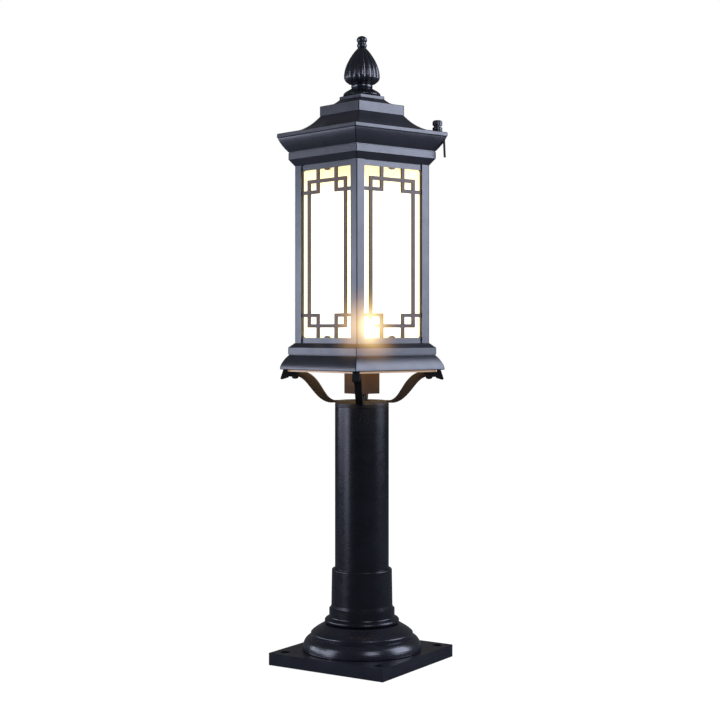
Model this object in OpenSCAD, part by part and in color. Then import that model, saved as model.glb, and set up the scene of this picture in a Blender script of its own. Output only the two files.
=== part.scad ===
// Lantern floor lamp: a square lantern with fretwork windows on four S-shaped arms,
// carried by a round post on a stepped foot and a square base plate.
// Millimetres, +Z up, origin at the centre of the base plate's underside.

/* [Base plate] */
// Side of the square base plate
plate_side = 170; // [164:1:200]
// Thickness of the base plate
plate_t = 15.5; // [12:0.5:20]
// Distance between the fixing holes, centre to centre
fixing_pitch = 140; // [132:1:146]
// Diameter of each fixing hole
fixing_d = 12.5; // [8:0.5:14]
// Diameter of the cable gland's thread
gland_d = 20; // [16:1:24]
// Bore of the cable gland
gland_bore_d = 11; // [8:0.5:12]

/* [Foot] */
// Radius of the bell at the base plate
bell_r = 76; // [74:0.5:80]
// Height of the bell above the base plate
bell_h = 33.5; // [31:0.5:36]
// Height of the collar that stands on the bell
collar_h = 70; // [66:0.5:90]
// Wall of the collar's sleeve at its top
sleeve_t = 4; // [3:0.2:5]
// Number of screws that join the bell to the base plate
bell_screws_n = 4; // [3:1:6]

/* [Post] */
// Outer diameter of the post
post_d = 69; // [67:0.5:70]
// Wall of the post
post_wall = 2; // [1.6:0.2:3]
// Length of the post above the ledge that it stands on
post_len = 264.5; // [240:0.5:330]
// Outer diameter of the threaded swivel tube
swivel_d = 10; // [9:0.5:12]
// Diameter of the lead inside the post
lead_d = 5.2; // [4:0.2:6]

/* [Hub and arms] */
// Height of the hub above the post
hub_h = 8.4; // [7:0.2:12]
// Turn of the lantern on the post, seen from above
head_yaw = -16.1; // [-45:0.1:45]
// Height of the lantern's underside above the hub
arm_rise = 36.5; // [32:0.5:44]
// Reach of the arms from the axis
arm_reach = 104.5; // [98:0.5:108]
// Width of each arm
arm_w = 8.8; // [7:0.2:10]
// Depth of each arm at its foot
arm_foot_t = 3; // [2.5:0.1:4]
// Depth of each arm at its middle
arm_mid_t = 12; // [8:0.5:13]
// Depth of each arm along the lantern's underside
arm_run_t = 6.5; // [5:0.5:8]
// Drop of each arm's tip below its run
arm_tip_drop = 3.5; // [2:0.5:5]

/* [Skirt] */
// Side of the skirt along its lower edge
skirt_side = 149.6; // [148:0.2:160]
// Side of the skirt's upright band
skirt_band_side = 134.5; // [130:0.5:138]
// Height of the flared part
skirt_flare_h = 20; // [15:0.5:22]
// Height of the upright band with its groove
skirt_band_h = 9; // [8:0.5:14]
// Height of the bevel up to the lantern's body
skirt_bevel_h = 5; // [4:0.5:7]
// Wall of the skirt
skirt_wall = 3.4; // [2.5:0.1:4]
// Thickness of the frosted underside plate
diffuser_t = 2.5; // [2:0.5:4]

/* [Lantern body] */
// Side of the lantern's body over its corner posts
body_side = 121.6; // [118:0.2:124]
// Height of the body
body_h = 227; // [200:1:260]
// Leg of each angle-shaped corner post
corner_leg = 12.2; // [9:0.1:12.6]
// Thickness of the corner posts
corner_t = 1.6; // [1.2:0.1:2.4]
// Side of the square opening through the top and the underside
throat_side = 96; // [90:1:100]

/* [Fret panels] */
// Thickness of the fret panels
fret_t = 2.8; // [2.4:0.1:4]
// Width of the window in each panel
window_w = 96; // [88:0.5:98]
// Height of the rail above and below the window
rail_h = 7; // [5:0.5:10]
// Width of the fret bars
bar_w = 4.6; // [2.6:0.1:5.4]
// Distance of the long bars from the panel's middle
long_bar_x = 35.7; // [32:0.1:38]
// Distance of the short bars from the panel's middle
short_bar_x = 17.7; // [14:0.1:24]
// Depth of the outer cross bar below the window's edge
outer_cross = 15; // [10:0.5:20]
// Depth of the inner cross bar below the window's edge
inner_cross = 28.4; // [24:0.2:40]
// Thickness of the frosted panes
pane_t = 3; // [2:0.5:4]

/* [Roof] */
// Side of the frieze below the eaves
frieze_side = 133.8; // [131:0.2:138]
// Height of the bevel below the frieze
frieze_bevel_h = 8.4; // [6:0.2:10]
// Height of the frieze
frieze_h = 8.5; // [7:0.5:14]
// Side of the eaves
eaves_side = 155; // [151:0.2:160]
// Height of the moulding below the eaves' lip
cyma_h = 18; // [15:0.5:22]
// Height of the eaves' lip
lip_h = 6; // [4:0.5:8]
// Height of the hollow slope from the eaves to the upper tier
slope_h = 22; // [18:0.5:26]
// Side of the upper tier
tier_side = 76.4; // [70:0.2:80]
// Height of the upper tier's band
tier_h = 12.5; // [9:0.5:16]
// Height of the hollow slope above the upper tier
cap_slope_h = 8; // [6:0.5:12]
// Side of the square seat below the finial
seat_side = 40.6; // [38:0.2:46]
// Height of that seat
seat_h = 4; // [3:0.2:8]
// Wall of the roof casting
roof_wall = 2.5; // [2:0.1:3]

/* [Finial] */
// Radius of the gadrooned collar
crown_r = 24; // [20:0.2:26]
// Height of the gadrooned collar
crown_h = 9.9; // [7:0.1:12]
// Radius of the neck ring
neck_r = 13.8; // [12:0.2:16]
// Height of the neck ring
neck_h = 5; // [4:0.5:8]
// Largest radius of the bud
bud_r = 23; // [18:0.5:26]
// Height of the bud
bud_h = 46; // [36:0.5:56]
// Number of ribs round the bud
bud_ribs = 16; // [8:1:20]
// Depth of the grooves between the ribs
bud_groove = 1.5; // [0.5:0.1:2.5]
// Radius of the ring below the tip's ball
tip_stem_r = 6.4; // [5:0.2:7]
// Radius of the tip's ball
tip_ball_r = 6.8; // [6.4:0.2:9]
// Height of the tip above the bud
tip_h = 16.4; // [14:0.5:20]
// Diameter of the finial's stud
stud_d = 8; // [6:0.5:10]

/* [Eaves fittings] */
// Diameter of the thumb knob
knob_d = 12.6; // [9:0.2:14]
// Height of the thumb knob
knob_h = 13.2; // [12:0.2:20]
// Diameter of the thumb knob's screw
knob_screw_d = 5; // [4:0.5:6]
// Distance of the thumb knob from the eaves' corner along the back
knob_from_corner = 11.5; // [10:0.5:30]
// Distance of the thumb knob's centre from the back edge
knob_from_edge = 7; // [6.5:0.5:9]
// Length of the hanging strap
strap_len = 30; // [18:1:34]
// Width of the hanging strap
strap_w = 4.5; // [3:0.5:6]
// Thickness of the hanging strap
strap_t = 2.8; // [1.6:0.2:3.2]

/* [Lamp] */
// Side of the square box round the lampholder
box_side = 32; // [31:0.5:36]
// Wall of that box
box_wall = 1.6; // [1.2:0.2:2]
// Drop of the box below the lantern's underside
box_drop = 28; // [20:0.5:31]
// Radius of the lampholder
holder_r = 12.2; // [11:0.2:13]
// Radius of the bulb's screw cap
bulb_cap_r = 6.95; // [6:0.05:7.5]
// Radius of the bulb's globe
bulb_r = 22.5; // [18:0.5:28]
// Height of the globe's centre above the skirt
bulb_rise = 24; // [20:0.5:36]

/* [Hidden] */

// Clearances
running = 0.06;      // radial, between a turning shaft and its hole
parting = 0.3;       // between faces that move apart
loose = 0.1;         // radial, round a screw in a plain hole
fit_step = 0.2;      // between a pane or panel and the next one

// Segments
round_fn = 72;
small_fn = 32;
curve_n = 10;

// Colours
paint = [0.10, 0.11, 0.13];
paint_head = [0.16, 0.17, 0.20];
frosted = [1.0, 0.95, 0.82, 0.9];
steel = [0.62, 0.63, 0.65];
black_rubber = [0.05, 0.05, 0.05];
ceramic_white = [0.93, 0.92, 0.88];

// Heights, from the ground up
bell_top = plate_t + bell_h;
ledge_h = 11.5;                                   // of the flange inside the collar
post_foot_z = bell_top + ledge_h;
collar_top = bell_top + collar_h;
post_top = post_foot_z + post_len;
hub_z = post_top + parting;
hub_top = hub_z + hub_h;
diffuser_z = hub_top + arm_rise;
skirt_z = diffuser_z + diffuser_t;
skirt_band_z = skirt_z + skirt_flare_h;
skirt_shoulder_z = skirt_band_z + skirt_band_h;
body_z = skirt_shoulder_z + skirt_bevel_h;
body_top = body_z + body_h;
frieze_z = body_top + frieze_bevel_h;
frieze_top = frieze_z + frieze_h;
gasket_t = 1;
roof_z = frieze_top + parting + gasket_t;
eaves_z = roof_z + cyma_h;
eaves_top = eaves_z + lip_h;
tier_z = eaves_top + slope_h;
tier_top = tier_z + tier_h;
seat_z = tier_top + cap_slope_h;
seat_top = seat_z + seat_h;
finial_z = seat_top + parting;
neck_z = finial_z + crown_h;
bud_z = neck_z + neck_h;
bud_top = bud_z + bud_h;
top_z = bud_top + tip_h;

// Post and foot
post_r = post_d / 2;
post_bore_r = post_r - post_wall;
duct_r = 30;                                      // of the way down through the foot
plug_t = 12;
plug_sink = 8;                                    // of the plug below the post's top
plug_z = post_top - plug_sink - plug_t;
swivel_r = swivel_d / 2;
swivel_bore_r = lead_d / 2 + 0.8;
swivel_low = plug_z - 10;
nut_t = 4;
nut_r = swivel_r * 1.65;
spigot_h = 6;
bell_wall = 5;
torus_w = 11.5;
torus_h = 16.5;
bell_lip_r = bell_r - 10.6;
bell_lip_z = plate_t + 21.2;
bell_slope_r = post_r + 14.4;                     // of the slope's upper end
bell_screw_r = 2.5;
bell_screw_ring = bell_r - 5.5;
bell_screw_top = plate_t + 5.5;
bell_head_r = 4.8;
bell_head_t = 4;
collar_ring_r = post_r + 7.4;
collar_ring_z = bell_top + 20;                    // of the ring's upper edge
collar_bolt_ring = 38;
collar_bolt_r = 2;
collar_bolt_grip = 8;                             // of the bolts in the collar
collar_bolt_seat = 4;                             // of the bell between the bolts' heads and the collar
collar_bolt_head_r = 3.6;
collar_bolt_head_t = 3;
collar_bolt_well = 14;                            // depth of the wells that the heads go in by
collar_bolts_n = 4;
grub_r = 2.5;
grub_z = collar_top - 24.5;
grub_angles = [83, 163];
gland_rise = 0.5;                                 // of the gland's thread above the plate's underside
gland_flange_t = 5;
gland_flange_w = 3.2;
gland_top = plate_t + gland_flange_t + 8;
terminal = [36, 14, 16];
terminal_y = 26;
earth_at = [28, -14];
earth_washer_r = 4.5;
earth_washer_t = 1.2;
earth_head_r = 3.4;
earth_head_t = 2.8;
lead_y = terminal_y;
lead_bend_h = 70;
lead_sides = 10;
lead_steps = 12;
lead_bend_z = swivel_low - lead_bend_h - 4;

// Arms
arm_z0 = hub_top - arm_foot_t;
arm_root_r = 19;
arm_lip_r = post_r + 1.5;
arm_s_low_r = 56;                                 // of the S bend's lower and upper control points
arm_s_high_r = 60;
arm_run_r = arm_reach - 23.5;                     // of the start of the arms' level run
arm_run_z = diffuser_z - arm_run_t;               // of the underside of the arms' level run
arm_tip_z = arm_run_z - arm_tip_drop;
arm_tip_w = 9.4;
arm_tip_lean = 3.6;                               // of the tip's end, outward and down
arm_pad_w = 5;                                    // of the pad between the tip's end and the frosted plate
arm_pad_r = arm_reach - arm_tip_lean - arm_pad_w;
diffuser_half = (arm_pad_r - 2 * parting) / sqrt(2);
hub_round = 5;
hub_screw_ring = 26;
hub_screw_r = 1.6;
hub_screw_head_r = 3;
hub_screw_head_t = 1.8;
arm_bolt_inset = 9.9;
arm_bolt_ring = arm_pad_r - arm_bolt_inset;
arm_bolt_r = 2;
arm_bolt_head_r = 4.4;
arm_bolt_head_t = 3;
arm_bolt_grip = 10;

// Body
body_half = body_side / 2;
panel_face = body_half - corner_t;
panel_back = panel_face - fret_t;
panel_half = panel_face - fret_t - fit_step;
pane_back = panel_back - pane_t;
pane_half = pane_back - fit_step;
pane_lap = 4;
window_z = body_z + rail_h;
window_top = body_top - rail_h;
window_round = 3;
clip_tab_r = 5.5;
clip_tab_drop = 2.6;
clip = [10, 1, 9];
panel_screw_r = 1.1;
panel_screw_head_r = 2;
panel_screw_head_t = 1.4;
panel_screw_x = (body_half - corner_leg + panel_half) / 2;
panel_screw_tip = 0.4;                            // left of the corner post in front of the screw
panel_screw_ends = 20;
panel_screw_stagger = 8;
throat_half = throat_side / 2;

// Skirt
skirt_half = skirt_side / 2;
band_half = skirt_band_side / 2;
band_groove = 0.8;
flare_foot_z = skirt_z + 1.2;
flare_head_z = skirt_band_z - 1.2;
flare_lean = [4, 4.4];                            // of the flare's head, inward against height
skirt_deck_t = 8.5;
skirt_deck_z = body_z - skirt_deck_t;
boss_side = 10;

// Roof
eaves_half = eaves_side / 2;
frieze_half = frieze_side / 2;
tier_half = tier_side / 2;
seat_half = seat_side / 2;
cyma_inset = 0.8;
strap_inset = 2.4;
eaves_round = 0.6;
tier_step = 0.5;
rim_w = 3.6;
frame_web_t = 3.6;
knob_x = eaves_half - knob_from_corner;
knob_y = eaves_half - knob_from_edge;
knob_pad_z = eaves_top + 2;                       // of the flat pad below the knob
knob_boss_r = 5.5;
knob_foot_z = knob_pad_z + parting;
seat_t = 3.5;                                     // of the roof under the finial
stud_low = seat_top - 16;
stud_high = bud_z + 12;
knob_screw_end = 2;                               // of the knob's screw below the eaves' underside
stud_r = stud_d / 2;
strap_ring = (eaves_half - strap_inset) * sqrt(2);
strap_sink = 4;
strap_lean = 2.5;

// Lamp
holder_top = skirt_deck_z;
bridge_t = 3;
bridge_w = 40;
bridge_screw_r = 1.6;
bridge_screw_head_r = 3;
bridge_screw_head_t = 1.8;
bridge_screw_x = throat_half + 6;
box_z = diffuser_z - box_drop;
swivel_top = box_z - 3 * parting;
box_top = skirt_deck_z - bridge_t;
holder_z = box_z + 18;
bulb_z = body_z + bulb_rise;
bulb_neck_r = 11;
cap_z = holder_z + 12;
cap_top = holder_top + 2;

// ---------- helpers ----------

// Points along an ellipse's arc
function arc(cx, cy, rx, ry, a0, a1, n = curve_n) =
    [for (i = [0 : n]) let (a = a0 + (a1 - a0) * i / n) [cx + rx * cos(a), cy + ry * sin(a)]];

// Value of a cubic curve through four control values
function cubic(p, t) =
    p[0] * pow(1 - t, 3) + 3 * p[1] * t * pow(1 - t, 2) + 3 * p[2] * pow(t, 2) * (1 - t) + p[3] * pow(t, 3);

// A list of points from its last to its first
function backwards(pts) = [for (i = [len(pts) - 1 : -1 : 0]) pts[i]];

// The mirror image of a profile on the other side of the axis
function other_side(pts) = [for (p = backwards(pts)) [-p[0], p[1]]];

// A square moulding with mitred corners, from its half profile [distance, height]
module mitred(pts) {
    reach = max([for (p = pts) p[0]]) + 1;
    intersection() {
        rotate([90, 0, 0])
            linear_extrude(height = 2 * reach, center = true) polygon(concat(pts, other_side(pts)));
        rotate([0, 0, 90]) rotate([90, 0, 0])
            linear_extrude(height = 2 * reach, center = true) polygon(concat(pts, other_side(pts)));
    }
}

// A square block centred on the axis
module square_block(half, z0, z1) {
    translate([-half, -half, z0]) cube([2 * half, 2 * half, z1 - z0]);
}

// A round bar on the axis
module rod(r, z0, z1, fn = round_fn) {
    translate([0, 0, z0]) cylinder(r = r, h = z1 - z0, $fn = fn);
}

// Places children in the lantern's own directions
module in_head() {
    rotate([0, 0, head_yaw]) children();
}

// Places children on the diagonal of one corner of the lantern
module at_corner(i) {
    in_head() rotate([0, 0, 45 + 90 * i]) children();
}

// Places children on one side of the lantern, whose outside faces -Y before the turn
module at_side(i) {
    in_head() rotate([0, 0, 90 * i]) children();
}

// Copies children evenly round the axis at a radius
module ring_of(n, r, start = 0) {
    for (i = [0 : n - 1]) rotate([0, 0, start + 360 * i / n]) translate([r, 0, 0]) children();
}

// ---------- foot and post ----------

module base_plate() {
    color(paint) difference() {
        square_block(plate_side / 2, 0, plate_t);
        for (x = [-1, 1], y = [-1, 1])
            translate([x * fixing_pitch / 2, y * fixing_pitch / 2, 0]) rod(fixing_d / 2, -1, plate_t + 1);
        rod(gland_d / 2, -1, plate_t + 1);
        ring_of(bell_screws_n, bell_screw_ring) {
            rod(bell_screw_r + loose, -1, plate_t + 1, small_fn);
            rod(bell_head_r + loose, -1, bell_head_t + 1, small_fn);
        }
    }
}

// Outline of the foot's bell: a lower torus, an upright lip and a slope up to the collar
function bell_outline() = concat(
    [[duct_r, bell_top - bell_wall], [bell_r - 10, plate_t + bell_wall], [bell_r - 10, plate_t]],
    arc(bell_r - torus_w, plate_t + 1, torus_w, torus_h, 0, 78),
    [[bell_lip_r, plate_t + torus_h + 1], [bell_lip_r, bell_lip_z]],
    arc(bell_lip_r - 2, bell_lip_z, 2, 2, 10, 50, 4),
    [for (i = [1 : curve_n]) let (t = i / curve_n) [
        cubic([bell_lip_r - 0.7, bell_lip_r - 5.9, bell_slope_r + 5, bell_slope_r], t),
        cubic([bell_lip_z + 1.5, bell_lip_z + 6.7, bell_top - 3.8, bell_top], t)]],
    [[duct_r, bell_top]]
);

module foot_bell() {
    color(paint) difference() {
        rotate_extrude($fn = round_fn) polygon(bell_outline());
        ring_of(bell_screws_n, bell_screw_ring) rod(bell_screw_r, plate_t - 1, bell_screw_top, small_fn);
        ring_of(collar_bolts_n, collar_bolt_ring, 45) {
            rod(collar_bolt_r + loose, bell_top - collar_bolt_well, bell_top + 1, small_fn);
            rod(collar_bolt_head_r + 4 * loose, bell_top - collar_bolt_well, bell_top - collar_bolt_seat,
                small_fn);
        }
    }
}

// Outline of the collar: a bead, a ring and a slightly tapered sleeve
function collar_outline() = concat(
    [[duct_r, bell_top], [post_r + 10.4, bell_top]],
    arc(post_r + 8.4, bell_top + 3.9, 4.8, 3.8, -60, 75),
    [[collar_ring_r + 0.3, bell_top + 8.4], [collar_ring_r, bell_top + 9.2],
     [collar_ring_r, collar_ring_z - 0.9], [collar_ring_r - 0.9, collar_ring_z],
     [post_r + sleeve_t + 1.2, collar_ring_z + 0.4], [post_r + sleeve_t + 0.7, collar_ring_z + 4],
     [post_r + sleeve_t, collar_top - 3]],
    arc(post_r + sleeve_t - 2, collar_top - 2, 2, 2, 0, 90, 5),
    [[post_r, collar_top], [post_r, post_foot_z], [duct_r, post_foot_z]]
);

module foot_collar() {
    color(paint) difference() {
        rotate_extrude($fn = round_fn) polygon(collar_outline());
        ring_of(collar_bolts_n, collar_bolt_ring, 45)
            rod(collar_bolt_r, bell_top - 1, bell_top + collar_bolt_grip, small_fn);
        for (a = grub_angles) rotate([0, 0, a]) translate([post_r - 1, 0, grub_z]) rotate([0, 90, 0])
            cylinder(r = grub_r, h = 12, $fn = small_fn);
    }
}

module post_tube() {
    color(paint) difference() {
        rod(post_r, post_foot_z, post_top);
        rod(post_bore_r, post_foot_z - 1, post_top + 1);
    }
}

module post_plug() {
    color(paint) difference() {
        rod(post_bore_r, plug_z, plug_z + plug_t);
        rod(swivel_r, plug_z - 1, plug_z + plug_t + 1);
    }
}

module swivel_tube() {
    color(steel) difference() {
        rod(swivel_r, swivel_low, swivel_top);
        rod(swivel_bore_r, swivel_low - 1, swivel_top + 1);
    }
}

// One hexagon nut on the swivel tube
module swivel_nut(z) {
    difference() {
        rod(nut_r, z, z + nut_t, 6);
        rod(swivel_r, z - 1, z + nut_t + 1);
    }
}

module swivel_nuts() {
    color(steel) {
        swivel_nut(plug_z - nut_t);
        swivel_nut(hub_top + parting);
    }
}

module bell_screws() {
    color(steel) ring_of(bell_screws_n, bell_screw_ring) {
        rod(bell_screw_r, bell_head_t, bell_screw_top, small_fn);
        difference() {
            rod(bell_head_r, 1, bell_head_t + 1, small_fn);
            rod(2, 0, 3, 6);
        }
    }
}

module collar_bolts() {
    color(steel) ring_of(collar_bolts_n, collar_bolt_ring, 45) {
        rod(collar_bolt_r, bell_top - collar_bolt_seat - 1, bell_top + collar_bolt_grip, small_fn);
        rod(collar_bolt_head_r, bell_top - collar_bolt_seat - collar_bolt_head_t, bell_top - collar_bolt_seat,
            small_fn);
    }
}

module collar_grub_screws() {
    color(steel) for (a = grub_angles) rotate([0, 0, a]) translate([post_r, 0, grub_z]) rotate([0, 90, 0])
        difference() {
            cylinder(r = grub_r, h = sleeve_t - 0.4, $fn = small_fn);
            translate([0, 0, 1.6]) cylinder(r = 1.2, h = sleeve_t, $fn = 6);
        }
}

module cable_gland() {
    color(black_rubber) difference() {
        union() {
            rod(gland_d / 2, gland_rise, plate_t + 1);
            rod(gland_d / 2 + gland_flange_w, plate_t, plate_t + gland_flange_t, 6);
            rod(gland_d / 2 - 0.5, plate_t, gland_top);
        }
        rod(gland_bore_d / 2, -1, gland_top + 1);
    }
}

module terminal_block() {
    color(ceramic_white) difference() {
        translate([-terminal[0] / 2, terminal_y - terminal[1] / 2, plate_t]) cube(terminal);
        for (x = [-1, 0, 1]) translate([x * terminal[0] / 3.2, terminal_y - 2.6, plate_t + terminal[2] / 2])
            cylinder(r = 2.2, h = terminal[2], $fn = small_fn);
    }
}

module earth_screw() {
    color("goldenrod") translate([earth_at[0], earth_at[1], 0]) {
        rod(earth_washer_r, plate_t, plate_t + earth_washer_t, small_fn);
        rod(earth_head_r, plate_t, plate_t + earth_washer_t + earth_head_t, small_fn);
    }
}

// Middle of the lead at a share of its bend, and the direction it runs there
function lead_at(u) = [0, lead_y * (1 + cos(180 * u)) / 2, lead_bend_z + lead_bend_h * u];
function lead_slope(u) = -90 * PI / 180 * lead_y * sin(180 * u) / lead_bend_h;

// One ring of the lead's surface, square to its run
function lead_ring(middle, slope) = let (tilt = atan(slope)) [for (k = [0 : lead_sides - 1]) let (
    a = 360 * k / lead_sides, across = lead_d / 2 * cos(a), along = lead_d / 2 * sin(a))
    middle + [across, along * cos(tilt), -along * sin(tilt)]];

// The lead from the terminal block up the post and through the swivel tube
module lamp_lead() {
    rings = concat(
        [lead_ring([0, lead_y, plate_t + terminal[2]], 0)],
        [for (i = [0 : lead_steps]) lead_ring(lead_at(i / lead_steps), lead_slope(i / lead_steps))],
        [lead_ring([0, 0, holder_z - parting], 0)]);
    walls = [for (s = [0 : len(rings) - 2], k = [0 : lead_sides - 1]) let (n = (k + 1) % lead_sides)
        [s * lead_sides + k, (s + 1) * lead_sides + k, (s + 1) * lead_sides + n, s * lead_sides + n]];
    foot = [[for (k = [0 : lead_sides - 1]) k]];
    head = [[for (k = [lead_sides - 1 : -1 : 0]) (len(rings) - 1) * lead_sides + k]];
    color(ceramic_white)
        polyhedron(points = [for (ring = rings) each ring], faces = concat(walls, foot, head));
}

// ---------- hub and arms ----------

// Side view of an arm, distance from the axis against height
function arm_t(t) = cubic([arm_foot_t, arm_mid_t - 1, arm_mid_t + 5, arm_run_t], t);
function arm_mid(t) = [
    cubic([arm_lip_r, arm_s_low_r, arm_s_high_r, arm_run_r], t),
    cubic([arm_z0 + arm_foot_t / 2, arm_z0 + arm_foot_t / 2 + 1, diffuser_z - arm_run_t / 2 - 1,
           diffuser_z - arm_run_t / 2], t)
];
function arm_normal(t) = let (d = arm_mid(t + 0.001) - arm_mid(t - 0.001)) [-d[1], d[0]] / norm(d);
function arm_edge(side) = [for (i = [0 : 20]) let (t = i / 20)
    arm_mid(t) + arm_normal(t) * side * arm_t(t) / 2];

function arm_outline() = concat(
    [[arm_root_r, arm_z0]],
    arm_edge(-1),
    [[arm_reach - arm_tip_w - 0.6, arm_run_z], [arm_reach - arm_tip_w, arm_run_z - 1.4],
     [arm_reach - 2.4, arm_tip_z]],
    arc(arm_reach - 1.4, arm_tip_z + 1.6, 1.4, 1.6, -90, 0, 5),
    [[arm_reach - arm_tip_lean, skirt_z], [arm_pad_r, skirt_z], [arm_pad_r, diffuser_z]],
    backwards(arm_edge(1)),
    [[arm_root_r, arm_z0 + arm_foot_t]]
);

// The bar of one arm along +X, level where it lies under the frosted plate
module arm_bar(w) {
    rotate([90, 0, 0]) linear_extrude(height = w, center = true) difference() {
        polygon(arm_outline());
        translate([0, diffuser_z]) square([arm_pad_r, 2 * diffuser_t]);
    }
}

module arm(i) {
    color(paint) at_corner(i) difference() {
        arm_bar(arm_w);
        translate([arm_bolt_ring, 0, 0]) rod(arm_bolt_r + loose, arm_run_z - 3, diffuser_z + 1, small_fn);
        translate([hub_screw_ring, 0, 0]) {
            rod(hub_screw_r + loose, arm_z0 - 1, hub_top + 1, small_fn);
            rod(hub_screw_head_r, hub_top - hub_screw_head_t, hub_top + 1, small_fn);
        }
    }
}

function hub_outline() = concat(
    [[swivel_r + running, hub_z - spigot_h], [post_bore_r - running, hub_z - spigot_h],
     [post_bore_r - running, hub_z], [post_r, hub_z]],
    arc(post_r - hub_round, hub_top - hub_round, hub_round, hub_round, 0, 90, 8),
    [[swivel_r + running, hub_top]]
);

module arm_hub() {
    color(paint) difference() {
        rotate_extrude($fn = round_fn) polygon(hub_outline());
        for (i = [0 : 3]) at_corner(i) {
            translate([arm_root_r, -arm_w / 2, arm_z0]) cube([post_r, arm_w, hub_h]);
            translate([hub_screw_ring, 0, 0]) rod(hub_screw_r, hub_z - 1, hub_top, small_fn);
        }
    }
}

module hub_screws() {
    color(steel) for (i = [0 : 3]) at_corner(i) translate([hub_screw_ring, 0, 0]) {
        rod(hub_screw_r, hub_z, hub_top - 1, small_fn);
        difference() {
            rod(hub_screw_head_r, hub_top - hub_screw_head_t, hub_top - 0.2, small_fn);
            translate([-hub_screw_head_r, -0.4, hub_top - 0.9]) cube([2 * hub_screw_head_r, 0.8, 2]);
        }
    }
}

// Dome-headed bolts through the arms and the underside plate into the skirt
module arm_bolts() {
    z = arm_run_z;
    color(paint) for (i = [0 : 3]) at_corner(i) translate([arm_bolt_ring, 0, 0]) {
        rod(arm_bolt_r, z - 1, skirt_z + arm_bolt_grip, small_fn);
        rotate_extrude($fn = small_fn) polygon(concat(
            [[0, z], [0, z - arm_bolt_head_t]],
            arc(0, z - 0.6, arm_bolt_head_r, arm_bolt_head_t - 0.6, -75, 0, 5),
            [[arm_bolt_head_r, z]]));
    }
}

// ---------- skirt and lampholder ----------

function skirt_outline() = concat(
    [[0, skirt_z], [skirt_half - 0.6, skirt_z], [skirt_half, skirt_z + 0.8]],
    [for (i = [0 : curve_n]) let (t = i / curve_n, head = band_half - band_groove) [
        cubic([skirt_half, skirt_half, head + flare_lean[0], head], t),
        cubic([flare_foot_z, 0.7 * flare_foot_z + 0.3 * flare_head_z, flare_head_z - flare_lean[1],
               flare_head_z], t)]],
    [[band_half - band_groove, skirt_band_z - 0.6],
     [band_half, skirt_band_z - 0.2], [band_half, skirt_shoulder_z - 0.8],
     [band_half - 0.8, skirt_shoulder_z], [body_half + 0.4, body_z], [0, body_z]]
);

module skirt() {
    cavity = band_half - skirt_wall;
    color(paint_head) in_head() difference() {
        mitred(skirt_outline());
        difference() {
            square_block(cavity, skirt_z - 1, skirt_deck_z);
            for (i = [0 : 3]) rotate([0, 0, 90 * i])
                translate([cavity - boss_side, cavity - boss_side, skirt_z - 2])
                    cube([boss_side + 1, boss_side + 1, skirt_deck_z - skirt_z + 3]);
        }
        square_block(throat_half, skirt_z, body_z + 1);
        for (i = [0 : 3]) rotate([0, 0, 45 + 90 * i]) translate([arm_bolt_ring, 0, 0])
            rod(arm_bolt_r, skirt_z - 1, skirt_z + arm_bolt_grip, small_fn);
    }
}

module bottom_diffuser() {
    half = diffuser_half;
    color(frosted) in_head() difference() {
        square_block(half, diffuser_z, skirt_z);
        square_block(box_side / 2 + loose, diffuser_z - 1, skirt_z + 1);
        for (i = [0 : 3]) rotate([0, 0, 45 + 90 * i]) translate([arm_bolt_ring, 0, 0])
            rod(arm_bolt_r + loose, diffuser_z - 1, skirt_z + 1, small_fn);
    }
}

module holder_bridge() {
    half = band_half - skirt_wall;
    color(steel) in_head() difference() {
        translate([-half, -bridge_w / 2, box_top]) cube([2 * half, bridge_w, bridge_t]);
        rod(holder_r + loose, box_top - 1, skirt_deck_z + 1);
        for (x = [-1, 1]) translate([x * bridge_screw_x, 0, 0])
            rod(bridge_screw_r + loose, box_top - 1, skirt_deck_z + 1, small_fn);
    }
}

module bridge_screws() {
    color(steel) in_head() for (x = [-1, 1]) translate([x * bridge_screw_x, 0, 0]) {
        rod(bridge_screw_r, box_top - 1, skirt_deck_z, small_fn);
        rod(bridge_screw_head_r, box_top - bridge_screw_head_t, box_top, small_fn);
    }
}

module holder_box() {
    half = box_side / 2;
    color(paint) in_head() difference() {
        square_block(half, box_z, box_top);
        square_block(half - box_wall, box_z + 2, box_top + 1);
        rod(swivel_r, box_z - 1, box_z + 3);
    }
}

// Short threaded tube that stands the lampholder on the box's floor
module holder_stem() {
    color(steel) difference() {
        union() {
            rod(swivel_r, box_z, holder_z);
            rod(nut_r, box_z + 2, box_z + 2 + nut_t, 6);
        }
        rod(swivel_bore_r, box_z - 1, holder_z + 1);
    }
}

module lampholder() {
    color(ceramic_white) difference() {
        rod(holder_r, holder_z, holder_top);
        rod(bulb_cap_r + running, cap_z - parting, holder_top + 1);
    }
}

module bulb_cap() {
    color(steel) rod(bulb_cap_r, cap_z, cap_top);
}

function bulb_outline() = concat(
    [[0, cap_top], [bulb_neck_r - 2, cap_top]],
    arc(0, bulb_z, bulb_r, bulb_r, -58, 90, 14)
);

module bulb_glass() {
    color(frosted) rotate_extrude($fn = round_fn) polygon(bulb_outline());
}

// ---------- lantern body ----------

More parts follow.
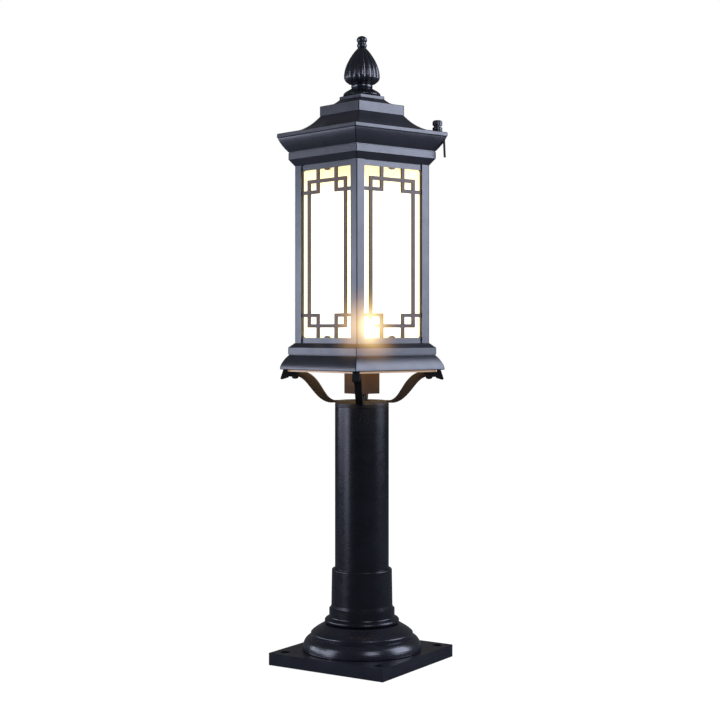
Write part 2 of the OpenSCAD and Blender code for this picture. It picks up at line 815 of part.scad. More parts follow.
module corner_post(i) {
    leg = corner_leg;
    color(paint_head) at_side(i) difference() {
        translate([body_half - leg, body_half - leg, body_z]) cube([leg, leg, body_h]);
        translate([body_half - leg - 1, body_half - leg - 1, body_z - 1])
            cube([leg - corner_t + 1, leg - corner_t + 1, body_h + 2]);
        for (z = screw_heights(i + 2))
            translate([panel_screw_x, panel_face - 1, z]) rotate([-90, 0, 0])
                cylinder(r = panel_screw_r, h = 1 + corner_t - panel_screw_tip, $fn = small_fn);
        for (z = screw_heights(i + 1))
            translate([panel_face - 1, panel_screw_x, z]) rotate([0, 90, 0])
                cylinder(r = panel_screw_r, h = 1 + corner_t - panel_screw_tip, $fn = small_fn);
    }
}

// Heights of the screws that hold a panel, staggered between neighbouring sides
function screw_heights(side) = let (shift = (side % 2) * panel_screw_stagger)
    [body_z + panel_screw_ends + shift, body_top - panel_screw_ends - shift];

// A window with rounded corners
module window_2d() {
    half = window_w / 2;
    r = window_round;
    translate([-half + r, window_z]) square([window_w - 2 * r, window_top - window_z]);
    translate([-half, window_z + r]) square([window_w, window_top - window_z - 2 * r]);
    for (x = [-1, 1], z = [window_z + r, window_top - r])
        translate([x * (half - r), z]) circle(r = r, $fn = small_fn);
}

// An upright bar and a level bar of the fret
module upright_2d(x, z0, z1) {
    translate([x - bar_w / 2, z0]) square([bar_w, z1 - z0]);
}
module level_2d(x0, x1, z) {
    translate([x0, z - bar_w / 2]) square([x1 - x0, bar_w]);
}

// The bars of one quarter of the fret, for the upper right
module fret_quarter_2d() {
    middle = (window_z + window_top) / 2;
    cross_z = window_top - outer_cross;
    inner_z = window_top - inner_cross;
    half_bar = bar_w / 2;
    upright_2d(long_bar_x, middle - 1, cross_z + half_bar);
    upright_2d(short_bar_x, inner_z - half_bar, window_top + 1);
    level_2d(-1, long_bar_x + half_bar, cross_z);
    level_2d(short_bar_x - half_bar, window_w / 2 + 1, inner_z);
    intersection() {
        translate([0, window_top + clip_tab_r - clip_tab_drop]) circle(r = clip_tab_r, $fn = small_fn);
        translate([-1, window_top - clip_tab_r]) square([clip_tab_r + 2, clip_tab_r + 1]);
    }
}

module fret_2d() {
    middle = (window_z + window_top) / 2;
    difference() {
        translate([-panel_half, body_z]) square([2 * panel_half, body_h]);
        window_2d();
    }
    translate([0, middle]) for (x = [0, 1], z = [0, 1])
        mirror([x, 0]) mirror([0, z]) translate([0, -middle]) fret_quarter_2d();
}

module fret_panel(i) {
    color(paint_head) at_side(i) difference() {
        translate([0, -panel_back, 0]) rotate([90, 0, 0]) linear_extrude(height = fret_t) fret_2d();
        for (x = [-1, 1], z = screw_heights(i))
            translate([x * panel_screw_x, -panel_back, z]) rotate([90, 0, 0]) {
            translate([0, 0, -1]) cylinder(r = panel_screw_r + loose, h = fret_t + 2, $fn = small_fn);
            translate([0, 0, -1])
                cylinder(r = panel_screw_head_r + loose, h = panel_screw_head_t + 1, $fn = small_fn);
        }
    }
}

// Screws with flat heads, sunk in the panel's back below the pane
module panel_screws() {
    color(steel) for (i = [0 : 3]) at_side(i) for (x = [-1, 1], z = screw_heights(i))
        translate([x * panel_screw_x, -panel_back - loose, z]) rotate([90, 0, 0]) {
            cylinder(r = panel_screw_r, h = fret_t - loose + corner_t - panel_screw_tip, $fn = small_fn);
            cylinder(r = panel_screw_head_r, h = panel_screw_head_t - loose, $fn = small_fn);
        }
}

module pane(i) {
    color(frosted) at_side(i) translate([-pane_half, -panel_back, window_z - pane_lap])
        cube([2 * pane_half, pane_t, window_top - window_z + 2 * pane_lap]);
}

// Spring clips that press the panes against the fret from inside
module pane_clips() {
    color(steel) for (i = [0 : 3]) at_side(i) for (up = [0, 1])
        translate([0, 0, up * (window_z + window_top)]) mirror([0, 0, up])
            translate([0, 0, window_z]) difference() {
                union() {
                    translate([-clip[0] / 2, -pane_back, -rail_h + 0.5]) cube([clip[0], clip[1], rail_h + 3]);
                    translate([-clip[0] / 2, -panel_back, -rail_h + 0.5])
                        cube([clip[0], pane_t + clip[1], rail_h - pane_lap - 0.7]);
                }
                translate([0, -panel_back - 1, -2.6]) rotate([-90, 0, 0])
                    cylinder(r = 0.6, h = 9, $fn = small_fn);
            }
}

// ---------- roof ----------

function frame_outline() = [
    [0, body_top], [body_half + 0.2, body_top], [frieze_half - 0.5, frieze_z - 0.4],
    [frieze_half, frieze_z + 0.2], [frieze_half, frieze_top], [0, frieze_top]
];

module top_frame() {
    color(paint_head) in_head() difference() {
        mitred(frame_outline());
        square_block(throat_half, body_top - 1, frieze_top + 1);
        difference() {
            square_block(frieze_half - rim_w, body_top + frame_web_t, frieze_top + 1);
            square_block(throat_half + frame_web_t, body_top, frieze_top + 2);
        }
    }
}

module roof_gasket() {
    color(black_rubber) in_head() difference() {
        square_block(frieze_half - 0.4, frieze_top + parting, roof_z);
        square_block(frieze_half - rim_w, frieze_top, roof_z + 1);
    }
}

// Outside of the roof, from the rim up to the finial's seat
function roof_outline() = concat(
    [[0, roof_z], [frieze_half, roof_z]],
    moulding(frieze_half + 0.8, roof_z + 1, eaves_half - cyma_inset, eaves_z),
    [[eaves_half, eaves_z + 1.3], [eaves_half, eaves_top - 0.8], [eaves_half - eaves_round, eaves_top]],
    lower_slope(),
    [[tier_half, tier_z], [tier_half, tier_top - 0.5], [tier_half - 0.5, tier_top]],
    upper_slope(),
    [[seat_half, seat_top - 0.5], [seat_half - 0.5, seat_top], [0, seat_top]]
);

// A moulding that leans outward on its way up, less and less
function moulding(x0, z0, x1, z1) = [for (i = [0 : curve_n]) let (t = i / curve_n) [
    cubic([x0, x0 + 0.4 * (x1 - x0), x0 + 0.84 * (x1 - x0), x1], t),
    cubic([z0, z0 + 0.28 * (z1 - z0), z0 + 0.68 * (z1 - z0), z1], t)]];

// A hollow slope that rises inward, almost level at its foot and steep at its head
function hollow(x0, z0, x1, z1) = [for (i = [0 : curve_n]) let (t = i / curve_n) [
    cubic([x0, x1 + 0.385 * (x0 - x1), x1 + 0.138 * (x0 - x1), x1], t),
    cubic([z0, z0, z1 - 0.35 * (z1 - z0), z1], t)]];
function lower_slope() = hollow(eaves_half - eaves_round, eaves_top, tier_half - tier_step, tier_z);
function upper_slope() = hollow(tier_half - 0.5, tier_top, seat_half, seat_z);

// Points moved inward and down by the roof's wall
function walled(pts) = [for (p = pts) p - [roof_wall, roof_wall]];

// Inside of the roof, one wall in from the outside
function roof_cavity() = concat(
    [[0, roof_z - 1], [frieze_half - rim_w, roof_z - 1], [frieze_half - rim_w, roof_z + 4],
     [eaves_half - cyma_inset - 2 * roof_wall, eaves_z]],
    walled(lower_slope()),
    [[tier_half - tier_step - roof_wall, tier_top - roof_wall]],
    walled(upper_slope()),
    [[seat_half - roof_wall, seat_top - seat_t], [0, seat_top - seat_t]]
);

module roof() {
    color(paint_head) in_head() difference() {
        union() {
            mitred(roof_outline());
            translate([knob_x, knob_y, 0]) rod(knob_d / 2, eaves_z + 1, knob_pad_z);
        }
        difference() {
            mitred(roof_cavity());
            translate([knob_x, knob_y, 0]) rod(knob_boss_r, roof_z, eaves_top + slope_h);
        }
        rod(stud_r, seat_top - seat_t - 1, seat_top + 1);
        translate([knob_x, knob_y, 0])
            rod(knob_screw_d / 2 + running, eaves_z - knob_screw_end - 1, knob_pad_z + 1, small_fn);
        strap_shape();
    }
}

// The strap that hangs from the corner of the eaves
module strap_shape() {
    rotate([0, 0, 45]) translate([strap_ring, 0, eaves_z]) rotate([0, -strap_lean, 0])
        translate([-strap_t, -strap_w / 2, strap_sink - strap_len]) cube([strap_t, strap_w, strap_len]);
}

module roof_strap() {
    color(black_rubber) in_head() strap_shape();
}

module finial_stud() {
    color(steel) rod(stud_r, stud_low, stud_high);
}

module finial_nut() {
    color(steel) difference() {
        rod(stud_r * 1.75, seat_top - seat_t - nut_t, seat_top - seat_t, 6);
        rod(stud_r, stud_low, seat_top);
    }
}

// ---------- finial ----------

function crown_outline() = concat(
    [[stud_r + running, finial_z], [crown_r - 1, finial_z], [crown_r, finial_z + 0.8]],
    [for (i = [0 : 8]) let (t = i / 8) [
        cubic([crown_r - 0.1, crown_r - 0.8, neck_r + 4.2, neck_r - 0.6], t),
        cubic([finial_z + 1.4, finial_z + 0.5 * crown_h, neck_z - 0.36 * crown_h, neck_z], t)]],
    [[stud_r + running, neck_z]]
);

module finial_crown() {
    grooves = bud_ribs * 2;
    tilt = atan2(crown_h - 2.4, crown_r - neck_r);
    color(paint) difference() {
        rotate_extrude($fn = round_fn) polygon(crown_outline());
        for (i = [0 : grooves - 1]) rotate([0, 0, 360 * i / grooves])
            translate([crown_r + 0.4, 0, finial_z + 2.4]) rotate([0, -90 + tilt, 0])
                cylinder(r = 1.1, h = 12, center = true, $fn = 16);
    }
}

// Radius of the bud at a share of its height, before its grooves
function bud_profile(u) = u < 0.2
    ? neck_r - 1 + (bud_r - neck_r + 1) * sqrt(sin(90 * u / 0.2))
    : tip_stem_r - 0.4 + (bud_r - tip_stem_r + 0.4) * pow(cos(90 * (u - 0.2) / 0.8), 0.86);

// Depth of the grooves at a share of the bud's height
function groove_depth(u) = bud_groove * pow(sin(180 * pow(u, 0.75)), 0.6);

tip_ball_h = 5.3;                                 // of half the ball
bud_steps = 16;
bud_turn = bud_ribs * 6;
function bud_ring(u) = [for (k = [0 : bud_turn - 1]) let (
    a = 360 * k / bud_turn,
    r = bud_profile(u) - groove_depth(u) * (1 - pow(abs(sin(a * bud_ribs / 2)), 0.7)))
    [r * cos(a), r * sin(a), bud_z + bud_h * u]];

module finial_bud() {
    rings = [for (s = [0 : bud_steps]) each bud_ring(pow(s / bud_steps, 1.35))];
    walls = [for (s = [0 : bud_steps - 1], k = [0 : bud_turn - 1]) let (n = (k + 1) % bud_turn)
        [s * bud_turn + k, (s + 1) * bud_turn + k, (s + 1) * bud_turn + n, s * bud_turn + n]];
    foot = [[for (k = [0 : bud_turn - 1]) k]];
    head = [[for (k = [bud_turn - 1 : -1 : 0]) bud_steps * bud_turn + k]];
    color(paint) difference() {
        polyhedron(points = rings, faces = concat(walls, foot, head));
        rod(stud_r + running, bud_z - 1, stud_high + 2, small_fn);
    }
}

module finial_tip() {
    color(paint) rotate_extrude($fn = round_fn) polygon(concat(
        [[0, bud_top], [tip_stem_r - 0.5, bud_top]],
        arc(tip_stem_r - 2.2, bud_top + 3.9, 2.2, 2.9, -70, 50, 6),
        arc(0, top_z - tip_ball_h, tip_ball_r, tip_ball_h, -38, 90)));
}

module finial_neck() {
    color(paint) rotate_extrude($fn = round_fn) polygon(concat(
        [[stud_r + running, neck_z], [neck_r - 1.2, neck_z]],
        arc(neck_r - 1.2, neck_z + neck_h / 2, 1.2, neck_h / 2, -90, 90, 6),
        [[stud_r + running, bud_z]]));
}

// ---------- thumb knob ----------

module thumb_knob() {
    r = knob_d / 2;
    z = knob_foot_z;
    color(black_rubber) in_head() translate([knob_x, knob_y, 0]) {
        rod(knob_screw_d / 2, eaves_z - knob_screw_end, z + 1, small_fn);
        rotate_extrude($fn = small_fn) polygon(concat(
            [[0, z], [r - 0.8, z], [r, z + 0.8], [r, z + knob_h * 0.28], [r - 1.4, z + knob_h * 0.34],
             [r - 1.4, z + knob_h * 0.46], [r, z + knob_h * 0.52]],
            arc(r - 3, z + knob_h - 3, 3, 3, 0, 90, 5),
            [[0, z + knob_h]]));
    }
}

// ---------- one line per node ----------

base_plate();
foot_bell();
foot_collar();
post_tube();
post_plug();
swivel_tube();
swivel_nuts();
bell_screws();
collar_bolts();
collar_grub_screws();
cable_gland();
terminal_block();
earth_screw();
lamp_lead();
arm_hub();
arm(0);  // arm_1
arm(1);  // arm_2
arm(2);  // arm_3
arm(3);  // arm_4
hub_screws();
arm_bolts();
bottom_diffuser();
skirt();
holder_bridge();
holder_box();
holder_stem();
lampholder();
bridge_screws();
corner_post(0);  // corner_post_1
corner_post(1);  // corner_post_2
corner_post(2);  // corner_post_3
corner_post(3);  // corner_post_4
fret_panel(0);  // fret_panel_1
fret_panel(1);  // fret_panel_2
fret_panel(2);  // fret_panel_3
fret_panel(3);  // fret_panel_4
pane(0);  // pane_1
pane(1);  // pane_2
pane(2);  // pane_3
pane(3);  // pane_4
pane_clips();
panel_screws();
top_frame();
roof_gasket();
roof();
roof_strap();
finial_stud();
finial_nut();
finial_crown();
finial_neck();
finial_bud();
finial_tip();
thumb_knob();
bulb_glass();
bulb_cap();
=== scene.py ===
"""Looks of the lantern floor lamp: paint, metal, lit frosted glass, camera and studio light."""

import math

import bpy
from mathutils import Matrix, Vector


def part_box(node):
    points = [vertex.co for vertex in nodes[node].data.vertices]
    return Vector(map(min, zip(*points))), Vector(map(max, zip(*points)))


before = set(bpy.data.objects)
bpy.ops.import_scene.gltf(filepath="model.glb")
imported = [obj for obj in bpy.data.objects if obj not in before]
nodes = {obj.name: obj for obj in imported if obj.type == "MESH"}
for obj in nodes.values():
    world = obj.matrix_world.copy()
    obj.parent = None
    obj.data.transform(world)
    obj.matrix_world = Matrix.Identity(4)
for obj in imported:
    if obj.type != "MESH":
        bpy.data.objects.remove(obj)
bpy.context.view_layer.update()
MM = 0.001

# ---------- the photograph's camera ----------

PHOTO_SIZE = 720                 # pixels along each side of the photograph
FOCAL_PX = 1474                  # focal length in those pixels
HORIZON_PX = 330.4               # row of the horizon
AXIS_PX = 361.9                  # column of the lamp's axis
CAMERA_AZIMUTH = math.radians(33)
CAMERA_DISTANCE = 1.888          # from the lamp's axis
CAMERA_HEIGHT = 0.423
SENSOR_MM = 36


def make_camera():
    """A level camera at the photograph's place, with the shift of its framing."""
    data = bpy.data.cameras.new("camera")
    data.sensor_width = SENSOR_MM
    data.lens = FOCAL_PX / PHOTO_SIZE * SENSOR_MM
    data.shift_x = (PHOTO_SIZE / 2 - AXIS_PX) / PHOTO_SIZE
    data.shift_y = (HORIZON_PX - PHOTO_SIZE / 2) / PHOTO_SIZE
    data.clip_start = 0.05
    camera = bpy.data.objects.new("camera", data)
    camera.location = (CAMERA_DISTANCE * math.sin(CAMERA_AZIMUTH),
                       -CAMERA_DISTANCE * math.cos(CAMERA_AZIMUTH), CAMERA_HEIGHT)
    camera.rotation_euler = (math.pi / 2, 0, CAMERA_AZIMUTH)
    bpy.context.scene.collection.objects.link(camera)
    bpy.context.scene.camera = camera


# ---------- the lantern's places, in metres ----------

def names_of(stem, count=4):
    """The names of numbered nodes."""
    return [f"{stem}_{i + 1}" for i in range(count)]


def nearest(names, point):
    """The node among some whose box has its centre nearest to a point, seen from above."""
    def gap(name):
        low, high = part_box(name)
        return math.dist([(a + b) / 2 for a, b in zip(low[:2], high[:2])], point[:2])
    return min(names, key=gap)


def in_head(x, y, z):
    """A place in the lantern's own directions, in the row frame."""
    c, s = math.cos(HEAD_YAW), math.sin(HEAD_YAW)
    return (x * c - y * s, x * s + y * c, z)


HEAD_YAW = math.radians(-16.1)   # turn of the lantern on its post
PANEL_LOW, PANEL_TOP = (corner[2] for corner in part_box("fret_panel_1"))
RAIL = 7 * MM                    # of a fret panel, above and below its window
WINDOW_LOW, WINDOW_TOP = PANEL_LOW + RAIL, PANEL_TOP - RAIL
WINDOW_HALF = 48 * MM            # half of a window's width
LONG_BAR = 35.7 * MM             # from the middle of a window to its long bars

# The bulb's glow on the paint is painted light: emission around this centre on the skirt, the corner post
# nearest it and two fret panels.
GLOW_CENTRE = in_head(59 * MM, -39 * MM, 428 * MM)   # where the bulb shows brightest
GLOW_RADIUS = 64 * MM
FRONT_POST = nearest(names_of("corner_post"), GLOW_CENTRE)
LIT_PANELS = ("fret_panel_1", "fret_panel_2")


# ---------- node helpers ----------

NOISE_RANGE = 0.3, 0.7           # what most of a noise's values lie between


def grey4(value):
    """A neutral colour with alpha."""
    return (value, value, value, 1.0)


class Shader:
    """A material's node tree, with short calls to add and join nodes."""

    def __init__(self, name):
        self.material = bpy.data.materials.new(name)
        self.material.use_nodes = True
        self.tree = self.material.node_tree
        self.surface = self.tree.nodes["Principled BSDF"]

    def add(self, kind, inputs=None, **settings):
        """A new node; inputs are numbers, colours or other nodes' sockets."""
        node = self.tree.nodes.new(kind)
        for key, value in settings.items():
            setattr(node, key, value)
        for key, value in (inputs or {}).items():
            self.join(value, node.inputs[key])
        return node

    def join(self, value, socket):
        """Links a socket to this one, or sets its value."""
        if isinstance(value, bpy.types.NodeSocket):
            self.tree.links.new(value, socket)
        else:
            socket.default_value = value

    def dress(self, **values):
        """Joins values to the surface's inputs, which are named with _ for each space."""
        for name, value in values.items():
            self.join(value, self.surface.inputs[name.replace("_", " ")])

    def math(self, operation, a, b=0.0):
        """The output of a Math node."""
        return self.add("ShaderNodeMath", {0: a, 1: b}, operation=operation).outputs[0]

    def coords(self):
        """The object's own coordinates, in metres in the row frame at rest."""
        return self.add("ShaderNodeTexCoord").outputs["Object"]

    def noise(self, scale, detail=4.0, roughness=0.5):
        """The value of a noise texture, with scale in features per metre."""
        return self.add("ShaderNodeTexNoise", {
            "Vector": self.coords(), "Scale": scale, "Detail": detail,
            "Roughness": roughness}).outputs["Fac"]

    def two_noises(self, coarse, fine, share):
        """A coarse noise's share and the rest from a fine one, each given as noise's arguments."""
        return self.math("ADD", self.math("MULTIPLY", self.noise(*coarse), share),
                         self.math("MULTIPLY", self.noise(*fine), 1.0 - share))

    def ramp(self, value, *stops):
        """Colours along a value: stops are (position, colour)."""
        node = self.add("ShaderNodeValToRGB", {"Fac": value})
        elements = node.color_ramp.elements
        while len(elements) < len(stops):
            elements.new(1.0)
        for element, (position, colour) in zip(elements, stops):
            element.position = position
            element.color = (*colour, 1.0)
        return node.outputs["Color"]

    def spread(self, value, low, high, to_low=0.0, to_high=1.0):
        """Maps a value's range to another, clamped."""
        return self.add("ShaderNodeMapRange", {
            "Value": value, "From Min": low, "From Max": high,
            "To Min": to_low, "To Max": to_high}).outputs["Result"]

    def uneven(self, noise, low, high):
        """Spreads a noise from low to high."""
        return self.spread(noise, *NOISE_RANGE, low, high)

    def distance(self, point):
        """The distance from a point of the row frame."""
        node = self.add("ShaderNodeVectorMath", {0: self.coords(), 1: point}, operation="DISTANCE")
        return node.outputs["Value"]

    def head_coords(self, side=0):
        """Coordinates turned with the lantern: along one of its sides, outward, and up."""
        turned = self.add("ShaderNodeMapping", {"Vector": self.coords()}, vector_type="POINT")
        turned.inputs["Rotation"].default_value[2] = -(HEAD_YAW + side * math.pi / 2)
        place = self.add("ShaderNodeSeparateXYZ", {"Vector": turned.outputs[0]})
        return place.outputs["X"], place.outputs["Y"], place.outputs["Z"]

    def in_window(self, side):
        """1 on what lies within a side's window, and 0 beyond it."""
        along, _, height = self.head_coords(side)
        from_middle = self.math("ABSOLUTE", self.math("SUBTRACT", height, (WINDOW_LOW + WINDOW_TOP) / 2))
        return self.math("MULTIPLY", self.math("LESS_THAN", self.math("ABSOLUTE", along), WINDOW_HALF),
                         self.math("LESS_THAN", from_middle, (WINDOW_TOP - WINDOW_LOW) / 2))

    def bump(self, height, strength, distance, normal=None):
        """A bump normal from a height, over another normal if one is given."""
        node = self.add("ShaderNodeBump", {"Height": height, "Strength": strength, "Distance": distance})
        if normal:
            self.join(normal, node.inputs["Normal"])
        return node.outputs["Normal"]


# ---------- materials ----------

PEEL_STRENGTH, PEEL_DEPTH = 0.10, 0.6 * MM
MITRE_WIDTH, MITRE_DEPTH = 0.9 * MM, 0.9 * MM
# Roughness added on the fret bars, and the strength of the painted glow on them.
BAR_DULLNESS, BAR_PAINTED_GLOW = 0.22, 0.05
GLOW_FALL = 3.0                  # power of the fall of the bulb's glow with distance
GLOW_COLOURS = ((0.0, (1.0, 0.93, 0.74)), (0.2, (1.0, 0.76, 0.32)),
                (0.45, (1.0, 0.57, 0.19)), (1.0, (1.0, 0.46, 0.12)))
GLASS_COLOURS = ((0.0, (1.0, 0.99, 0.94)), (0.5, (0.92, 0.84, 0.54)), (1.0, (0.82, 0.66, 0.30)))
GLASS_GLOW = 0.92


def paint(name, dark, light, roughness, specular, mitres=False, glow=0.0, side=None):
    """Powder coat: mottled colour, orange peel, uneven gloss and mitre joints, with a painted glow of the
    bulb on it, as emission.

    On a fret panel, given by its side, the bars are duller and get a painted warm glow, standing for the
    lit pane behind them.
    """
    s = Shader(name)
    mottle = s.two_noises((38, 5.0, 0.6), (900, 2.0, 0.6), 0.75)
    gloss = s.uneven(s.noise(60, 6.0, 0.65), roughness - 0.04, roughness + 0.05)
    painted_bar_glow = 0.0
    if side is not None:
        bars = s.in_window(side)
        gloss = s.math("ADD", gloss, s.math("MULTIPLY", bars, BAR_DULLNESS))
        # painted glow on the bars from the lit pane behind them
        painted_bar_glow = s.math("MULTIPLY", bars, BAR_PAINTED_GLOW)
    normal = s.bump(s.two_noises((420, 3.0, 0.5), (1600, 2.0, 0.5), 0.7), PEEL_STRENGTH, PEEL_DEPTH)
    if mitres:
        across, outward, _ = s.head_coords()
        off_mitre = s.math("SUBTRACT", s.math("ABSOLUTE", across), s.math("ABSOLUTE", outward))
        joint = s.spread(s.math("ABSOLUTE", off_mitre), 0.0, MITRE_WIDTH)
        normal = s.bump(joint, 1.0, MITRE_DEPTH, normal)
    s.dress(Base_Color=s.ramp(mottle, (0.35, dark), (0.65, light)), Roughness=gloss,
            Specular_IOR_Level=specular, Normal=normal)
    # Painted glow of the bulb: emission that falls off with distance from the glow centre.
    if glow or side is not None:
        far = s.distance(GLOW_CENTRE)
        fall = s.math("POWER", s.spread(far, 0.0, GLOW_RADIUS, 1.0, 0.0), GLOW_FALL)
        s.dress(Emission_Color=s.ramp(s.spread(far, 0.0, GLOW_RADIUS), *GLOW_COLOURS),
                Emission_Strength=s.math("ADD", s.math("MULTIPLY", fall, glow), painted_bar_glow))
    return s.material


def metal(name, base, roughness=0.35):
    """Plated or bare metal with faint streaks."""
    s = Shader(name)
    worn = tuple(c * 0.8 for c in base)
    s.dress(Base_Color=s.ramp(s.noise(300), (0.35, worn), (0.7, base)), Metallic=1.0,
            Roughness=s.uneven(s.noise(120), roughness - 0.07, roughness + 0.07))
    return s.material


def plain(name, base, roughness, specular=0.5):
    """A moulded or drawn material with a little unevenness."""
    s = Shader(name)
    dull = tuple(c * 0.85 for c in base)
    s.dress(Base_Color=s.ramp(s.noise(150, 3.0), (0.3, dull), (0.7, base)), Specular_IOR_Level=specular,
            Roughness=s.uneven(s.noise(200), roughness - 0.04, roughness + 0.04),
            Normal=s.bump(s.noise(900, 2.0), 0.08, 0.4 * MM))
    return s.material


def lit_glass(name, side):
    """A frosted pane's glow: warm white, with painted shade in yellow at its edges, long bars, top and
    bottom, and a painted warm patch where the bulb shows through it.
    """
    s = Shader(name)
    along, _, height = s.head_coords(side)
    across = s.math("ABSOLUTE", along)
    from_bar = s.math("ABSOLUTE", s.math("SUBTRACT", across, LONG_BAR))
    pane_shade_and_glow_marks = (                    # painted shade and glow: what is measured, where it starts and is full, and its strength
        (across, WINDOW_HALF - 12 * MM, WINDOW_HALF, 0.65),
        (from_bar, 5.5 * MM, 1.5 * MM, 0.5),
        (height, WINDOW_TOP - 36 * MM, WINDOW_TOP - 14 * MM, 0.8),
        (height, WINDOW_LOW + 9 * MM, WINDOW_LOW, 0.7),
        (s.distance(GLOW_CENTRE), 50 * MM, 18 * MM, 0.75),
    )
    # The pane's glow turns yellow and dimmer where shade of the frame or the bulb's warm patch is painted
    # on it.
    painted_shade_and_glow = 0.0
    for measured, start, full, strength in pane_shade_and_glow_marks:
        painted_shade_and_glow = s.math("MAXIMUM", painted_shade_and_glow, s.spread(measured, start, full, 0.0, strength))
    frost = s.math("MULTIPLY", s.math("SUBTRACT", s.noise(170, 4.0, 0.6), 0.5), 0.08)
    s.dress(Emission_Color=s.ramp(s.math("ADD", painted_shade_and_glow, frost), *GLASS_COLOURS),
            Emission_Strength=GLASS_GLOW, Base_Color=(0.42, 0.38, 0.30, 1.0),
            Transmission_Weight=1.0, Roughness=0.17, IOR=1.2)
    return s.material


def glowing(name, colour, strength):
    """A lit material."""
    s = Shader(name)
    dim = tuple(c * 0.92 for c in colour)
    s.dress(Base_Color=grey4(0.3), Emission_Color=s.ramp(s.noise(90, 3.0), (0.3, dim), (0.7, colour)),
            Emission_Strength=strength)
    return s.material


def dress(material, *names):
    """Gives CAD nodes a material."""
    for name in names:
        mesh = nodes[name].data
        mesh.materials.clear()
        mesh.materials.append(material)


def soften_edges(width, angle, *names):
    """Rounds the edges of CAD nodes a little, as cast and painted edges are; angle in degrees."""
    for name in names:
        bevel = nodes[name].modifiers.new("edge", "BEVEL")
        bevel.width = width
        bevel.segments = 3
        bevel.limit_method = "ANGLE"
        bevel.angle_limit = math.radians(angle)
        bevel.harden_normals = True


# ---------- studio ----------

WORLD_LIGHT = 0.12               # strength of the world as a light, where 1 is white
FLOOR_GLOW = 0.93                # the floor's own light to the camera, close to the lamp
FLOOR_FADE = 0.25, 1.2           # metres from the lamp over which that rises to 1
FLOOR_ALBEDO = 0.16
STUDIO_COLOUR = (0.72, 0.78, 1.0)
SOFTBOXES = {                    # azimuth, distance, lower and upper edge, width, and radiance
    "right_box": (119, 1.9, 0.35, 1.9, 1.3, 9.6),
    "left_box": (-64, 1.9, 0.22, 0.76, 1.4, 6.8),
    "front_right_box": (54, 2.2, 0.9, 1.9, 0.9, 9.0),
    "low_left_box": (-34, 2.2, 0.0, 1.6, 0.8, 7.5),
}


def area_light(name, colour, energy, location, rotation):
    """A new area light, whose shape and size are still to be set."""
    data = bpy.data.lights.new(name, "AREA")
    data.energy = energy
    data.color = colour
    light = bpy.data.objects.new(name, data)
    light.location = location
    light.rotation_euler = rotation
    bpy.context.scene.collection.objects.link(light)
    return light


def softbox(name, azimuth, distance, low, high, width, radiance):
    """An upright soft light that faces the lamp's axis; azimuth is measured as the camera's is."""
    a = math.radians(azimuth)
    height = high - low
    light = area_light(name, STUDIO_COLOUR, radiance * math.pi * width * height,
                       (distance * math.sin(a), -distance * math.cos(a), (low + high) / 2),
                       (math.pi / 2, 0, a))
    light.data.shape = "RECTANGLE"
    light.data.size, light.data.size_y = width, height


def underglow():
    """The warm light that the frosted underside plate throws on the box and the arms."""
    just_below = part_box("bottom_diffuser")[0][2] - 0.5 * MM
    light = area_light("underglow", (1.0, 0.58, 0.22), 0.75, (0, 0, just_below), (0, 0, HEAD_YAW))
    light.data.shape = "SQUARE"
    light.data.size = 120 * MM
    light.visible_glossy = False


def make_world():
    """White to the camera and through glass, and dim as a light."""
    world = bpy.data.worlds.new("studio")
    world.use_nodes = True
    bpy.context.scene.world = world
    tree = world.node_tree
    background = tree.nodes["Background"]
    background.inputs["Color"].default_value = grey4(1.0)
    path = tree.nodes.new("ShaderNodeLightPath")
    seen = tree.nodes.new("ShaderNodeMath")
    seen.operation = "MAXIMUM"
    tree.links.new(path.outputs["Is Camera Ray"], seen.inputs[0])
    tree.links.new(path.outputs["Is Transmission Ray"], seen.inputs[1])
    level = tree.nodes.new("ShaderNodeMapRange")
    level.inputs["To Min"].default_value = WORLD_LIGHT
    level.inputs["To Max"].default_value = 1.0
    tree.links.new(seen.outputs[0], level.inputs["Value"])
    tree.links.new(level.outputs["Result"], background.inputs["Strength"])


def make_floor():
    """A floor that the camera sees as white, with a faint shadow of the lamp."""
    bpy.ops.mesh.primitive_plane_add(size=40, location=(0, 0, -0.5 * MM))
    floor = bpy.context.object
    floor.name = "floor"
    s = Shader("floor_white")
    seen = s.add("ShaderNodeLightPath").outputs["Is Camera Ray"]
    glow = s.spread(s.distance((0, 0, 0)), *FLOOR_FADE, FLOOR_GLOW, 1.0)
    s.dress(Base_Color=grey4(FLOOR_ALBEDO), Roughness=0.9, Specular_IOR_Level=0.0,
            Emission_Color=grey4(1.0), Emission_Strength=s.math("MULTIPLY", seen, glow))
    floor.data.materials.append(s.material)


make_camera()
make_world()
make_floor()
for name, place in SOFTBOXES.items():
    softbox(name, *place)
underglow()

# ---------- looks ----------

LANTERN_COAT = {"dark": (0.010, 0.011, 0.015), "light": (0.016, 0.017, 0.023),
                "roughness": 0.33, "specular": 0.5}
BULB_GLOW = 2.4                  # strength of the bulb's painted glow on the paint at its centre
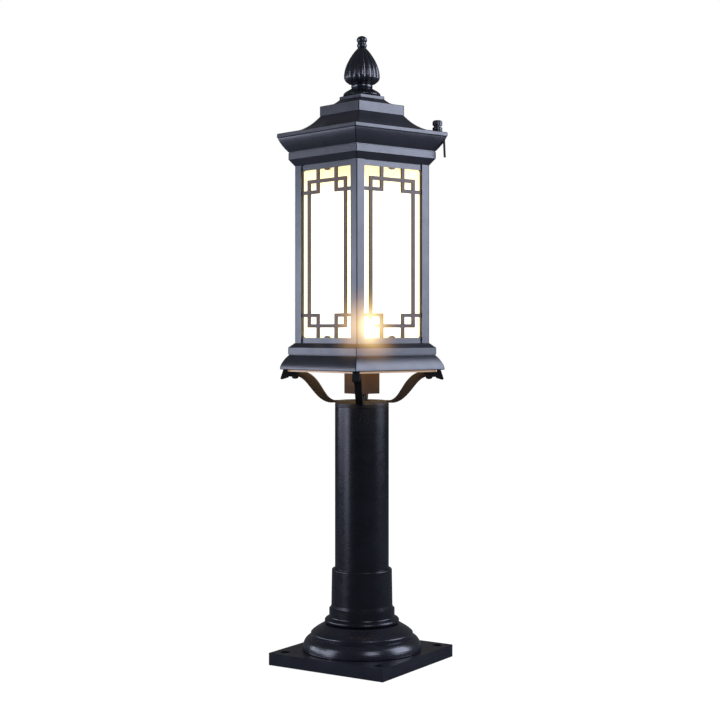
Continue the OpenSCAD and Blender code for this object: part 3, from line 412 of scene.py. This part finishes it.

post_paint = paint("post_paint", (0.004, 0.0045, 0.0065), (0.007, 0.0078, 0.011), 0.27, 0.27)
plate_paint = paint("base_plate_paint", (0.008, 0.0092, 0.0135), (0.013, 0.0148, 0.021), 0.30, 0.20)
bell_paint = paint("foot_bell_paint", (0.0045, 0.0055, 0.009), (0.0075, 0.009, 0.0145), 0.25, 0.45)
head_paint = paint("lantern_paint", **LANTERN_COAT, mitres=True)
lit_paint = paint("lit_lantern_paint", **LANTERN_COAT, mitres=True, glow=BULB_GLOW)
finial_paint = paint("finial_paint", (0.006, 0.007, 0.010), (0.010, 0.011, 0.015), 0.24, 0.55)
arm_paint = paint("arm_paint", (0.006, 0.006, 0.007), (0.010, 0.010, 0.011), 0.38, 0.16)
# The box's brown tint is painted warm light from the diffuser plate under the lantern.
box_painted_warm_light = paint("box_painted_warm_light", (0.009, 0.006, 0.004), (0.015, 0.010, 0.006), 0.45, 0.10)
blacked = metal("blackened_steel", (0.06, 0.052, 0.045), 0.4)
plated = metal("plated_steel", (0.52, 0.53, 0.55))
brass = metal("brass", (0.78, 0.58, 0.26), 0.3)
black = plain("black_plastic", (0.014, 0.014, 0.016), 0.32)
insulator = plain("white_insulator", (0.80, 0.78, 0.72), 0.3)
sheath = plain("lead_sheath", (0.70, 0.69, 0.65), 0.55, 0.3)
diffuser = glowing("frosted_acrylic", (1.0, 0.58, 0.24), 0.35)
bulb = glowing("bulb_glass", (1.0, 0.86, 0.62), 10.0)

dress(plate_paint, "base_plate")
dress(bell_paint, "foot_bell")
dress(post_paint, "foot_collar", "post_tube", "post_plug")
dress(arm_paint, "arm_hub", *names_of("arm"), "arm_bolts")
dress(box_painted_warm_light, "holder_box")
dress(blacked, "swivel_tube", "swivel_nuts", "holder_stem")
dress(head_paint, *names_of("corner_post"), "top_frame", "roof")
dress(lit_paint, "skirt", FRONT_POST)
dress(finial_paint, "finial_crown", "finial_neck", "finial_bud", "finial_tip")
dress(plated, "bell_screws", "collar_bolts", "collar_grub_screws", "hub_screws", "holder_bridge",
      "bridge_screws", "pane_clips", "panel_screws", "finial_stud", "finial_nut", "bulb_cap")
dress(brass, "earth_screw")
dress(black, "cable_gland", "roof_gasket", "roof_strap", "thumb_knob")
dress(insulator, "terminal_block", "lampholder")
dress(sheath, "lamp_lead")
dress(diffuser, "bottom_diffuser")
dress(bulb, "bulb_glass")
for side, pane in enumerate(names_of("pane")):
    dress(lit_glass(f"frosted_glass_{side + 1}", side), pane)
for side, panel in enumerate(names_of("fret_panel")):
    dress(paint(f"fret_paint_{side + 1}", **LANTERN_COAT, side=side,
                glow=BULB_GLOW if panel in LIT_PANELS else 0.0), panel)

soften_edges(0.5 * MM, 35, "skirt", "top_frame", "roof", "base_plate")
soften_edges(0.8 * MM, 35, *names_of("corner_post"))
soften_edges(0.7 * MM, 60, *names_of("fret_panel"))
soften_edges(2.2 * MM, 60, *names_of("arm"))

bpy.context.scene.view_settings.view_transform = "Standard"
